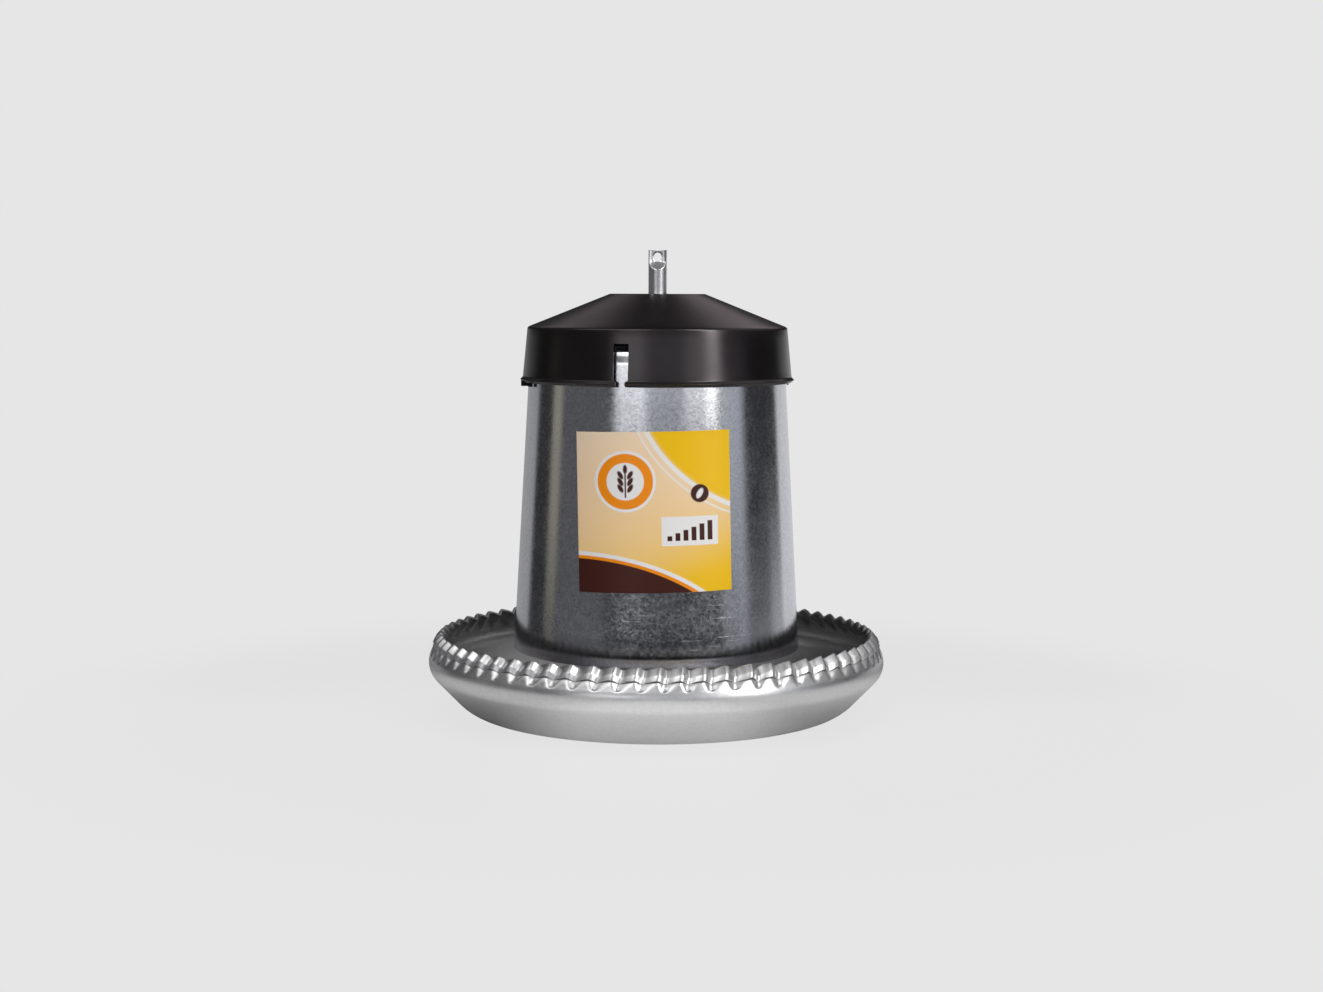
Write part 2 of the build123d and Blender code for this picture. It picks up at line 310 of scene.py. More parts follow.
sheet_look = make_galvanised(
    "galvanised_hopper", radius=90.0, tone=(0.70, 0.71, 0.745), rough=0.155, mottle=0.21,
    scratch_top=100.0)
# The pan's inside value paints shade on its inner side.
pan_look = make_galvanised(
    "galvanised_pan", radius=145.0, tone=(0.76, 0.76, 0.765), rough=0.34, mottle=0.08,
    scratch_top=30.0, brushed=0.7, inside=0.64)
tube_look = make_galvanised(
    "galvanised_tube", radius=6.0, tone=(0.88, 0.88, 0.90), rough=0.32, mottle=0.06,
    scratch_top=60.0)
small_look = make_galvanised(
    "galvanised_small", radius=12.0, tone=(0.62, 0.63, 0.65), rough=0.30, mottle=0.10,
    scratch_top=60.0)
plastic_look = make_black_plastic(radius=86.0)


# Mesh helpers

def finish_mesh(mesh, sharp_angle):
    """Outward faces, smooth shading, and sharp edges over an angle."""
    work = bmesh.new()
    work.from_mesh(mesh)
    bmesh.ops.remove_doubles(work, verts=work.verts, dist=1e-6)
    bmesh.ops.recalc_face_normals(work, faces=work.faces)
    work.to_mesh(mesh)
    work.free()
    mesh.shade_smooth()
    mesh.set_sharp_from_angle(angle=radians(sharp_angle))


def mesh_from(name, points, faces):
    mesh = bpy.data.meshes.new(name)
    mesh.from_pydata([tuple(c * MM for c in p) for p in points], [], faces)
    return mesh


def linked(name, mesh):
    made = bpy.data.objects.new(name, mesh)
    scene.collection.objects.link(made)
    return made


def object_from(name, work):
    """Object from a working mesh, which is then freed."""
    mesh = bpy.data.meshes.new(name)
    work.to_mesh(mesh)
    work.free()
    return linked(name, mesh)


def dress(piece, body, material, sharp_angle):
    """Material, shading and body of a piece of the feeder."""
    piece.data.materials.append(material)
    finish_mesh(piece.data, sharp_angle)
    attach(piece, body)


def make_piece(name, points, faces, body, material, sharp_angle):
    mesh = mesh_from(name, points, faces)
    mesh.validate()
    piece = linked(name, mesh)
    dress(piece, body, material, sharp_angle)
    return piece


def cut_away(piece, cutters, sharp_angle):
    """Takes the cutters' solids out of a piece, and the cutters out of the scene."""
    for cutter in cutters:
        cut = piece.modifiers.new("cut", "BOOLEAN")
        cut.operation = "DIFFERENCE"
        cut.solver = "EXACT"
        cut.object = cutter
    bpy.context.view_layer.update()
    evaluated = piece.evaluated_get(bpy.context.evaluated_depsgraph_get())
    shown = bpy.data.meshes.new_from_object(evaluated)
    piece.modifiers.clear()
    piece.data = shown
    for cutter in cutters:
        bpy.data.objects.remove(cutter)
    finish_mesh(piece.data, sharp_angle)


def about_axis(radius, angle, height):
    """Point at a radius and an azimuth."""
    return (radius * sin(angle), -radius * cos(angle), height)


def even_columns(count):
    return [2 * pi * step / count for step in range(count)]


def closed_faces(columns, rows):
    """Faces of a closed outline carried all round, whose points go column by column."""
    faces = []
    for column in range(columns):
        following = (column + 1) % columns
        for row in range(rows):
            after = (row + 1) % rows
            faces.append((column * rows + row, column * rows + after,
                          following * rows + after, following * rows + row))
    return faces


def turned(loop, columns):
    """Points and faces of a closed outline of (radius, height) turned about the axis."""
    points = [about_axis(radius, angle, height) for angle in columns for radius, height in loop]
    return points, closed_faces(len(columns), len(loop))


def arc_points(centre, radius, start, end, steps):
    """Points along an arc of the outline. Angles in degrees from outward, towards up."""
    made = []
    for step in range(steps + 1):
        angle = radians(start + (end - start) * step / steps)
        made.append((centre[0] + radius * cos(angle), centre[1] + radius * sin(angle)))
    return made


def points_between(start, end, steps):
    """Points that part a line into equal steps, without its ends."""
    return [(start[0] + (end[0] - start[0]) * step / steps,
             start[1] + (end[1] - start[1]) * step / steps) for step in range(1, steps)]


def smooth_outline(corners, steps=5):
    """Points of an outline of (radius, height, rounding). A corner with rounding 0 stays sharp."""
    made = []
    for place, (radius, height, rounding) in enumerate(corners):
        if rounding == 0:
            made.append((radius, height))
            continue
        here = Vector((radius, height))
        before = (Vector(corners[place - 1][:2]) - here).normalized()
        after = (Vector(corners[place + 1][:2]) - here).normalized()
        half = before.angle(after) / 2
        reach = rounding / tan(half)
        centre = here + (before + after).normalized() * (rounding / sin(half))
        start = here + before * reach - centre
        end = here + after * reach - centre
        whole = start.angle_signed(end)
        for step in range(steps + 1):
            made.append(tuple(centre + Matrix.Rotation(-whole * step / steps, 2) @ start))
    return made


def step_between(value, low, high):
    """Smooth step from 0 to 1."""
    share = min(1.0, max(0.0, (value - low) / (high - low)))
    return share * share * (3 - 2 * share)


# Pan: the folded rim with its flutes, as the solid has them, with a real gap under the fold

FLUTES, FLUTE_COLUMNS = 66, 12
# The wide flute where the crimping ends meet, in degrees
JOIN_AZIMUTH, JOIN_ANGLE = 17.1, 6.4
FLUTE_DEPTH, FLUTE_LEAN = 1.6, 0.45
FLUTE_TILT, FLUTE_TWIST = radians(50.0), radians(0.93)
RIM_LOW, RIM_HIGH = 39.6, 52.2
# Shares of the depth: under the fold, where the flutes are also set back, and inside the pan
UNDER_DEPTH, UNDER_SET_BACK, INSIDE_DEPTH = 0.66, 0.12, 0.95
INSIDE_LOW, INSIDE_HIGH = 38.1, 46.0
# Azimuth and half width in degrees, and size
BULGE_AZIMUTH, BULGE_WIDTH, BULGE = 23.3, 0.7, 0.75
DENT_AZIMUTH, DENT_WIDTH, DENT = 25.6, 0.8, 0.9
DENT_LOW, DENT_HIGH = 46.0, 50.0

PAN_SHEET = 0.7
PAN_HOLE, BOSS_RADIUS, BOSS_RISE = 6.25, 17.0, 5.6
FLOOR_START, FLOOR_END = 31.0, 106.0
TURN_CENTRE, TURN_RADIUS = (110.0, 30.0), 30.0
BELLY_CENTRE, BELLY_RADIUS = (136.0, 34.0), 14.0
UNDER_FOLD = [(145.35, 44.45), (144.85, 45.0)]
BEHIND_FOLD = [(144.95, 45.35), (145.45, 45.05), (145.93, 44.32)]
# Radius, height and rounding of each corner
FOLD_CORNERS = [
    (146.02, 44.22, 0), (146.62, 44.52, 0.14), (145.27, 47.6, 1.9), (140.97, RIM_HIGH, 0.85),
    (139.57, 50.4, 0.7), (141.6, 47.6, 0)]


def pan_columns():
    """Azimuth and wave phase of each column of points. The first flute is the wide one."""
    pitch = (360.0 - JOIN_ANGLE) / (FLUTES - 1)
    columns = []
    start = JOIN_AZIMUTH
    for flute in range(FLUTES):
        width = JOIN_ANGLE if flute == 0 else pitch
        for step in range(FLUTE_COLUMNS):
            share = step / FLUTE_COLUMNS
            columns.append((radians(start + width * share), 2 * pi * share))
        start += width
    return columns


def wave(phase):
    """Wave from -1 to 1 that drops more steeply on its right."""
    return cos(phase + FLUTE_LEAN * (1 - cos(phase)))


def pan_outline():
    """Outline rows of (radius, height, kind, strength). Kinds: plain, under, fold, inside."""
    rows = []

    def add(points, kind, strength=1.0):
        for radius, height in points:
            rows.append((radius, height, kind, strength))

    inner_belly, inner_turn = BELLY_RADIUS - PAN_SHEET, TURN_RADIUS - PAN_SHEET
    add([(PAN_HOLE, BOSS_RISE), (BOSS_RADIUS, BOSS_RISE), (18.2, 5.2), (27.8, 0.5), (29.0, 0.05),
         (FLOOR_START, 0.0), (70.0, 0.0), (FLOOR_END, 0.0)], "plain")
    add(arc_points(TURN_CENTRE, TURN_RADIUS, -90, -45, 9), "plain")
    add(arc_points(BELLY_CENTRE, BELLY_RADIUS, -45, 15, 10), "plain")
    add(arc_points(BELLY_CENTRE, BELLY_RADIUS, 18, 45, 9), "under")
    add(UNDER_FOLD, "under")
    add(BEHIND_FOLD, "fold")
    add(smooth_outline(FOLD_CORNERS)[:-1], "fold")
    add([(141.1, 48.4)], "fold", 0.97)
    add(arc_points(BELLY_CENTRE, inner_belly, 48, 18, 9), "inside")
    add(arc_points(BELLY_CENTRE, inner_belly, 14, -45, 9), "plain")
    add(arc_points(TURN_CENTRE, inner_turn, -45, -90, 9), "plain")
    add([(FLOOR_END, PAN_SHEET), (70.0, PAN_SHEET), (FLOOR_START, PAN_SHEET), (29.2, 0.8),
         (28.0, 1.2), (18.4, 5.9), (BOSS_RADIUS, BOSS_RISE + PAN_SHEET),
         (PAN_HOLE, BOSS_RISE + PAN_SHEET)], "plain")
    return rows


def hump(value, centre, width):
    """Round hump of height 1."""
    return exp(-((value - centre) / width) ** 2)


def fold_wear(angle, height):
    """How far the fold is out of line: a slight wobble, and a bulge and a dent near the join."""
    azimuth = degrees(angle)
    wobble = 0.06 * sin(7.3 * angle + 1.1) + 0.05 * sin(13.7 * angle)
    bulge = BULGE * hump(azimuth, BULGE_AZIMUTH, BULGE_WIDTH)
    dent = DENT * hump(azimuth, DENT_AZIMUTH, DENT_WIDTH) * step_between(height, DENT_LOW, DENT_HIGH)
    return wobble + bulge - dent


def flute_push(row, angle, phase):
    """How far the flutes push a point of the outline out along their tilt."""
    height, kind, strength = row[1:]
    tall = wave(phase)
    if kind == "fold":
        return FLUTE_DEPTH * strength * tall + fold_wear(angle, height)
    if kind == "under":
        valley = (1 - tall) / 2
        share = (height - RIM_LOW + 1.2) / 5.2 + 0.55 * valley - 0.15
        share = step_between(share, 0.1, 1.0) * step_between(height, RIM_LOW - 1.6, RIM_LOW + 1.2)
        return FLUTE_DEPTH * (UNDER_DEPTH * tall - UNDER_SET_BACK) * share
    if kind == "inside":
        return FLUTE_DEPTH * INSIDE_DEPTH * tall * step_between(height, INSIDE_LOW, INSIDE_HIGH)
    return 0.0


def pan_point(row, angle, phase):
    """Point of the pan at one row and column."""
    radius, height = row[:2]
    push = flute_push(row, angle, phase)
    turn = -FLUTE_TWIST * (1.0 - step_between(height, RIM_LOW, RIM_HIGH))
    return about_axis(radius + push * cos(FLUTE_TILT), angle + turn, height + push * sin(FLUTE_TILT))


def make_pan():
    rows = pan_outline()
    columns = pan_columns()
    points = [pan_point(row, angle, phase) for angle, phase in columns for row in rows]
    faces = closed_faces(len(columns), len(rows))
    piece = make_piece("pan_sheet", points, faces, "feeder", pan_look, 50.0)
    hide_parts("pan")


make_pan()


# Hopper

HOPPER_BOTTOM, HOPPER_TOP = 43.0, 238.7
HOPPER_FOOT_RADIUS, HOPPER_HEAD_RADIUS = 94.0, 83.0
HOPPER_SHEET, HOPPER_EDGE = 0.6, 0.12
HOPPER_ROWS, HOPPER_COLUMNS = 24, 360
SEAM_HALF_ANGLE, SEAM_STEPS = radians(4.0), 16
SEAM_EDGE, SEAM_SINK = 0.05, 0.2


def hopper_radius(height):
    """Outer radius of the hopper at a height."""
    slope = (HOPPER_FOOT_RADIUS - HOPPER_HEAD_RADIUS) / (HOPPER_TOP - HOPPER_BOTTOM)
    return HOPPER_FOOT_RADIUS - (height - HOPPER_BOTTOM) * slope


def make_hopper():
    """Tapered sheet, with the corners of its two edges slightly broken."""
    tall = HOPPER_TOP - HOPPER_BOTTOM
    heights = [HOPPER_BOTTOM + tall * step / HOPPER_ROWS for step in range(HOPPER_ROWS + 1)]
    foot, head = hopper_radius(HOPPER_BOTTOM), hopper_radius(HOPPER_TOP)
    loop = [(hopper_radius(height), height) for height in heights]
    loop[0] = (foot, HOPPER_BOTTOM + HOPPER_EDGE)
    loop[-1] = (head, HOPPER_TOP - HOPPER_EDGE)
    loop += [(head - HOPPER_EDGE, HOPPER_TOP), (head - HOPPER_SHEET + HOPPER_EDGE, HOPPER_TOP)]
    loop += [(hopper_radius(height) - HOPPER_SHEET, height) for height in reversed(heights)]
    loop += [(foot - HOPPER_SHEET + HOPPER_EDGE, HOPPER_BOTTOM), (foot - HOPPER_EDGE, HOPPER_BOTTOM)]
    points, faces = turned(loop, even_columns(HOPPER_COLUMNS))
    piece = make_piece("hopper_sheet", points, faces, "feeder", sheet_look, 50.0)
    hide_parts("hopper")


def make_hopper_seam():
    """Lap of the sheet up the back, one sheet higher than the rest."""
    points, faces = [], []
    for place in range(SEAM_STEPS + 1):
        angle = pi - SEAM_HALF_ANGLE + 2 * SEAM_HALF_ANGLE * place / SEAM_STEPS
        lift = HOPPER_SHEET if 0 < place < SEAM_STEPS else SEAM_EDGE
        for height in (HOPPER_BOTTOM, HOPPER_TOP):
            for reach in (lift, -SEAM_SINK):
                points.append(about_axis(hopper_radius(height) + reach, angle, height))
    for place in range(SEAM_STEPS):
        here, after = place * 4, place * 4 + 4
        faces += [(here, here + 2, after + 2, after), (here + 1, after + 1, after + 3, here + 3),
                  (here, after, after + 1, here + 1), (here + 2, here + 3, after + 3, after + 2)]
    last = SEAM_STEPS * 4
    faces += [(0, 1, 3, 2), (last, last + 2, last + 3, last + 1)]
    make_piece("hopper_seam", points, faces, "feeder", sheet_look, 30.0)


make_hopper()
make_hopper_seam()


# Lid

LID_TOP, LID_SHOULDER, LIP_TOP, LIP_MIDDLE, LIP_BOTTOM = 274.6, 253.0, 220.8, 219.0, 217.2
LID_WALL = 1.8
LID_HOLE, ROOF_FLAT, SHOULDER_RADIUS, SKIRT_RADIUS, LIP_RADIUS = 6.9, 31.0, 84.8, 87.9, 89.6
COLLAR_RADIUS, COLLAR_BOTTOM = 9.3, 266.6
LID_COLUMNS, LID_SHARP = 480, 32.0
LONGEST_GAP, LID_SPACING = 6.0, 5.0

SLOT_AZIMUTH, SLOTS, SLOT_REACH = -15.1, 3, (78.0, 96.0)
# Half width and height of a slot's corners, from its top down to its narrower mouth
SLOT_CORNERS = [(4.8, 243.8), (4.8, 221.4), (4.55, 220.9), (3.6, 220.75), (3.1, 220.2), (3.1, 210.0)]
RIBS, RIB_INNER, RIB_DEPTH, RIB_BOTTOM, RIB_TOP = 6, 75.4, 8.9, 239.0, 252.6


def lid_outline():
    """Section of the lid's wall, with points close enough together for the slots' cuts."""
    under_roof, inner_skirt = LID_TOP - LID_WALL, SKIRT_RADIUS - LID_WALL
    outline = smooth_outline([
        (LID_HOLE, LID_TOP, 0), (ROOF_FLAT, LID_TOP, 3.0), (SHOULDER_RADIUS, LID_SHOULDER, 2.2),
        (SKIRT_RADIUS, LIP_TOP, 1.2), (LIP_RADIUS, LIP_MIDDLE, 0.22), (87.45, LIP_BOTTOM, 0.3),
        (inner_skirt, LIP_BOTTOM, 0.2), (inner_skirt, LIP_TOP, 1.0),
        (SHOULDER_RADIUS - LID_WALL, LID_SHOULDER - LID_WALL, 0.8), (ROOF_FLAT, under_roof, 2.0),
        (COLLAR_RADIUS, under_roof, 0.4), (COLLAR_RADIUS, COLLAR_BOTTOM, 0.3),
        (LID_HOLE, COLLAR_BOTTOM, 0)], 6)
    dense = []
    for place, point in enumerate(outline):
        following = outline[(place + 1) % len(outline)]
        dense.append(point)
        gap = (Vector(following) - Vector(point)).length
        if gap > LONGEST_GAP:
            dense += points_between(point, following, int(gap / LID_SPACING))
    return dense


def slot_cutter(azimuth):
    """Block in the shape of a slot, which reaches through the skirt."""
    shape = SLOT_CORNERS + [(-across, up) for across, up in reversed(SLOT_CORNERS)]
    work = bmesh.new()
    rings = []
    for reach in SLOT_REACH:
        ring = []
        for across, up in shape:
            x = reach * sin(azimuth) + across * cos(azimuth)
            y = -reach * cos(azimuth) + across * sin(azimuth)
            ring.append(work.verts.new(Vector((x, y, up)) * MM))
        rings.append(ring)
    inner, outer = rings
    work.faces.new(inner)
    work.faces.new(list(reversed(outer)))
    for place in range(len(shape)):
        after = (place + 1) % len(shape)
        work.faces.new((inner[place], outer[place], outer[after], inner[after]))
    bmesh.ops.recalc_face_normals(work, faces=work.faces)
    return object_from("slot_cutter", work)


def make_lid():
    points, faces = turned(lid_outline(), even_columns(LID_COLUMNS))
    lid = make_piece("lid_cap", points, faces, "lid", plastic_look, LID_SHARP)
    turns = [radians(SLOT_AZIMUTH + 360.0 / SLOTS * number) for number in range(SLOTS)]
    cut_away(lid, [slot_cutter(turn) for turn in turns], LID_SHARP)
    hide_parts("lid")


def make_block(name, azimuth, inner, width, depth, bottom, top, round_off):
    """Small moulded block with rounded edges, set across a radius."""
    work = bmesh.new()
    bmesh.ops.create_cube(work, size=1.0)
    angle = radians(azimuth)
    outward = Vector((sin(angle), -cos(angle), 0.0))
    across = Vector((cos(angle), sin(angle), 0.0))
    for vertex in work.verts:
        x, y, z = vertex.co
        place = outward * (inner + depth * (y + 0.5)) + across * (x * width)
        vertex.co = Vector((place.x, place.y, bottom + (top - bottom) * (z + 0.5))) * MM
    bmesh.ops.bevel(work, geom=list(work.edges), offset=round_off * MM, segments=3,
                    profile=0.5, affect="EDGES")
    piece = object_from(name, work)
    dress(piece, "lid", plastic_look, 35.0)


make_lid()
make_block("lid_catch", azimuth=-83.0, inner=84.95, width=5.0, depth=3.8,
           bottom=215.0, top=219.2, round_off=0.35)
make_block("lid_stop", azimuth=-71.0, inner=84.95, width=1.2, depth=2.4,
           bottom=215.0, top=219.0, round_off=0.2)
make_block("lid_nib", azimuth=97.0, inner=86.3, width=1.0, depth=0.9,
           bottom=215.0, top=219.0, round_off=0.15)
for number in range(RIBS):
    make_block("lid_rib_%d" % number, azimuth=SLOT_AZIMUTH + 360.0 / RIBS * (number + 0.5),
               inner=RIB_INNER, width=1.6, depth=RIB_DEPTH, bottom=RIB_BOTTOM, top=RIB_TOP,
               round_off=0.2)


# Label

LABEL_WIDTH, LABEL_HEIGHT = 95.0, 99.6
LABEL_X, LABEL_Z = -1.7, 140.1
LABEL_TURN = radians(1.2)
LABEL_FRONT, LABEL_BACK = 0.3, 0.1
LABEL_STEPS = 60
PRINT_SOFT = 0.35
CREAM, PEACH = (0.90, 0.71, 0.53), (0.90, 0.60, 0.26)
GOLD, ORANGE = (0.90, 0.53, 0.003), (0.90, 0.27, 0.003)
BROWN, WHITE = (0.050, 0.010, 0.006), (0.84, 0.82, 0.81)


def label_points():
    """Grid of points on the front and the back of the label, both bent round the hopper."""
    points = []
    for reach in (LABEL_FRONT, LABEL_BACK):
        for row in range(LABEL_STEPS + 1):
            for column in range(LABEL_STEPS + 1):
                across = (column / LABEL_STEPS - 0.5) * LABEL_WIDTH
                up = (row / LABEL_STEPS - 0.5) * LABEL_HEIGHT
                x = LABEL_X + across * cos(LABEL_TURN) - up * sin(LABEL_TURN)
                z = LABEL_Z + across * sin(LABEL_TURN) + up * cos(LABEL_TURN)
                radius = hopper_radius(z) + reach
                points.append((x, -sqrt(radius ** 2 - x ** 2), z))
    return points


def label_faces():
    """Front and back faces of the grid, and the edge between them."""
    steps, row_size = LABEL_STEPS, LABEL_STEPS + 1
    size = row_size ** 2
    faces = []
    for row in range(steps):
        for column in range(steps):
            a = row * row_size + column
            faces.append((a, a + 1, a + row_size + 1, a + row_size))
            faces.append(tuple(size + c for c in (a, a + row_size, a + row_size + 1, a + 1)))
    rim = list(range(steps))
    rim += [row * row_size + steps for row in range(steps)]
    rim += [steps * row_size + column for column in range(steps, 0, -1)]
    rim += [row * row_size for row in range(steps, 0, -1)]
    for place, here in enumerate(rim):
        after = rim[(place + 1) % len(rim)]
        faces.append((here, here + size, after + size, after))
    return faces


def make_label():
    piece = make_piece("label_print", label_points(), label_faces(), "feeder", make_label_look(),
                       40.0)
    layer = piece.data.uv_layers.new(name="print")
    for loop in piece.data.loops:
        at = piece.data.vertices[loop.vertex_index].co / MM
        x, z = at.x - LABEL_X, at.z - LABEL_Z
        across = x * cos(LABEL_TURN) + z * sin(LABEL_TURN)
        up = z * cos(LABEL_TURN) - x * sin(LABEL_TURN)
        layer.data[loop.index].uv = (across / LABEL_WIDTH + 0.5, up / LABEL_HEIGHT + 0.5)
    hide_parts("label")


class Print:
    """Ink on the label, laid down one shape after another, in millimetres from its lower left."""

    def __init__(self, look, paper_colour):
        u, v = look.uv()
        self.look = look
        self.x = u * LABEL_WIDTH
        self.y = v * LABEL_HEIGHT
        self.ink = paper_colour

    def lay(self, share, colour):
        self.ink = self.look.mix(share, self.ink, colour)

    def disc(self, x, y, wide, tall=None, turn=0.0, blur=PRINT_SOFT):
        """Share that is 1 inside a circle or a turned ellipse, given by its half width and height."""
        tall = tall or wide
        along = (self.x - x) * cos(turn) + (self.y - y) * sin(turn)
        across = (self.y - y) * cos(turn) - (self.x - x) * sin(turn)
        away = ((along / wide) * (along / wide) + (across / tall) * (across / tall)).sqrt()
        edge = blur / min(wide, tall)
        return away.ramp(1.0 + edge, 1.0 - edge)

    def bar(self, left, right, bottom, top):
        """Share that is 1 inside an upright rectangle."""
        sides = self.x.between(left, right, PRINT_SOFT / 2)
        return sides * self.y.between(bottom, top, PRINT_SOFT / 2)


def print_sweeps(design):
    """Faded ground with a gold corner at the upper right and a brown one at the lower left."""
    down = (design.y * -1.0 + LABEL_HEIGHT) / LABEL_HEIGHT
    lean = (design.x / LABEL_WIDTH - 0.5) * 0.25
    design.lay((down + lean).ramp(0.25, 1.05), GOLD)
    design.lay(design.disc(30.0, 52.0, 42.0, 38.0, 0.4, blur=26.0) * 0.55, PEACH)

    def corner(wide, tall, blur=PRINT_SOFT):
        return design.disc(118.0, 112.0, wide, tall, -0.45, blur)

    design.lay(corner(84.0, 62.0, blur=3.0), GOLD)
    design.lay((corner(86.5, 64.5) - corner(83.4, 61.6)).at_least(0.0) * 0.95, WHITE)
    design.lay((corner(90.5, 68.5) - corner(89.3, 67.3)).at_least(0.0) * 0.8, WHITE)
    for wide, tall, colour in ((101.5, 70.5, WHITE), (98.6, 68.0, ORANGE), (96.0, 66.0, BROWN)):
        design.lay(design.disc(10.0, -46.0, wide, tall, -0.16), colour)


def print_grain_disc(design):
    """Orange ring round an ear of grain."""
    x, y = 30.0, 69.0
    for radius, colour in ((19.0, WHITE), (17.2, ORANGE), (11.6, WHITE)):
        design.lay(design.disc(x, y, radius), colour)
    for side in (-1, 1):
        for step in range(3):
            seed = design.disc(x + side * 3.0, y - 4.2 + 4.1 * step, 1.35, 2.9, side * -0.55)
            design.lay(seed, BROWN)
    design.lay(design.disc(x, y + 7.6, 1.3, 2.8), BROWN)
    design.lay(design.bar(x - 0.45, x + 0.45, y - 10.0, y + 5.0), BROWN)


def print_scale_panel(design):
    """White panel with six bars that grow, and a seed in a brown disc over it."""
    design.lay(design.bar(52.0, 87.0, 29.0, 47.0), WHITE)
    for step in range(6):
        left = 55.5 + 5.0 * step
        design.lay(design.bar(left, left + 3.0, 32.0, 35.0 + 1.8 * step), BROWN)
    design.lay(design.disc(76.0, 61.0, 5.6), BROWN)
    design.lay(design.disc(76.0, 61.0, 1.7, 3.4, -0.5), WHITE)


def make_label_look():
    """Printed paper with a plain design, slightly rippled."""
    look = Look("printed_label")
    design = Print(look, CREAM)
    print_sweeps(design)
    print_grain_disc(design)
    print_scale_panel(design)
    paper = look.noise(look.vector(design.x, design.y), scale=1.2, detail=4.0, roughness=0.6)
    look.colour(look.grey_times(design.ink, (paper - 0.5) * 0.07 + 1.0))
    look.roughness((paper - 0.5) * 0.12 + 0.32)
    ripple = look.noise(look.vector(design.x * 0.045, design.y * 0.03), detail=2.0, roughness=0.5)
    look.bump(ripple * 6.0 + paper * 0.12, strength=0.10, distance=0.0004)
    look.set(Specular_IOR_Level=0.35)
    return look.material


make_label()


# Tube: pressed together at the top from the front and the back, pierced for a hook

TUBE_RADIUS, TUBE_WALL, TUBE_COLUMNS = 6.0, 0.9, 96
TUBE_BOTTOM, TUBE_TOP, PINCH_START = 3.2, 303.0, 287.0
PINCH_STEPS = 44
TUBE_HEIGHTS = [4.4, 20.0, 60.0, 120.0, 200.0, 250.0, 280.0]
# Above the bend the walls are flat across their middle and round at its sides
BEND_HEIGHT, BEND_SOFTNESS, HALF_WEB, HALF_FLAT, SIDE_RADIUS = 295.4, 0.5, 0.85, 3.3, 3.0
INSIDE_SQUEEZE, HALF_GAP = 1.02, 0.04
HOLE_HEIGHT, HOLE_RADIUS, HOLE_STRETCH = 298.5, 2.5, 1.15
HOLE_DRAG, HOLE_DRAG_RADIUS = 0.30, 3.4
TOP_SAG, SAG_START, SAG_HALF_WIDTH = 0.5, 300.0, 3.0
PIN_HOLE_RADIUS, PIN_HEIGHT, PIN_SPACING = 1.85, 58.0, 12.0
FOOT_RADIUS, FOOT_OUTER, FOOT_TOP = 8.1, 8.2, 4.3
BEAD = [(5.6, 7.5, 0), (7.8, 7.9, 0.5), (7.8, 9.7, 0.5), (5.6, 10.1, 0)]


def tube_section(height, inset):
    """Points round the tube at a height, on its outside or, with an inset, on its inside.

    Its front and back walls are pressed flat above the bend, where they nearly touch. The
    outside is dragged in a little round the hole, and the top edge sags in its middle."""
    made = []
    radius, side_radius = TUBE_RADIUS - inset, SIDE_RADIUS + inset
    above = height - BEND_HEIGHT
    slope = (-above + sqrt(above ** 2 + BEND_SOFTNESS)) / 2
    drag = HOLE_DRAG if inset == 0.0 else 0.0
    for angle in even_columns(TUBE_COLUMNS):
        x, y = radius * sin(angle), -radius * cos(angle)
        past = min(side_radius, max(0.0, abs(x) - HALF_FLAT))
        side = side_radius - sqrt(side_radius ** 2 - past ** 2)
        pressed = HALF_WEB - inset * INSIDE_SQUEEZE + side + slope
        from_hole = sqrt(x ** 2 + ((height - HOLE_HEIGHT) / HOLE_STRETCH) ** 2)
        pressed -= drag * (1.0 - step_between(from_hole, HOLE_RADIUS, HOLE_DRAG_RADIUS))
        if abs(y) > pressed:
            y = max(pressed, HALF_GAP) * (1 if y > 0 else -1)
        sag = TOP_SAG * step_between(height, SAG_START, TUBE_TOP) * hump(x, 0.0, SAG_HALF_WIDTH)
        made.append((x, y, height - sag))
    return made


def hole_cutter(height, radius, stretch):
    """Bar from front to back that pierces the tube."""
    work = bmesh.new()
    bmesh.ops.create_cone(work, cap_ends=True, segments=40, radius1=radius * MM,
                          radius2=radius * MM, depth=30.0 * MM)
    lying = Matrix.Rotation(pi / 2, 3, "X")
    bmesh.ops.rotate(work, verts=work.verts, cent=(0, 0, 0), matrix=lying)
    for vertex in work.verts:
        vertex.co.z = vertex.co.z * stretch + height * MM
    return object_from("hole_cutter", work)


def make_tube():
    pinch = TUBE_TOP - PINCH_START
    heights = TUBE_HEIGHTS + [PINCH_START + pinch * step / PINCH_STEPS for step in range(PINCH_STEPS + 1)]
    foot = [(TUBE_RADIUS - TUBE_WALL, TUBE_BOTTOM), (FOOT_RADIUS, TUBE_BOTTOM),
            (FOOT_OUTER, TUBE_BOTTOM + 0.1), (FOOT_OUTER, FOOT_TOP)]
    columns = even_columns(TUBE_COLUMNS)
    rings = [[about_axis(radius, angle, height) for angle in columns] for radius, height in foot]
    rings += [tube_section(height, 0.0) for height in heights]
    rings += [tube_section(height, TUBE_WALL) for height in reversed(heights)]
    points = [point for ring in rings for point in ring]
    faces = closed_faces(len(rings), TUBE_COLUMNS)
    tube = make_piece("tube_pinched", points, faces, "feeder", tube_look, 40.0)
    cutters = [hole_cutter(HOLE_HEIGHT, HOLE_RADIUS, HOLE_STRETCH)]
    for place in range(-1, 3):
        cutters.append(hole_cutter(PIN_HEIGHT + PIN_SPACING * place, PIN_HOLE_RADIUS, 1.0))
    cut_away(tube, cutters, 40.0)
    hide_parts("centre_tube")


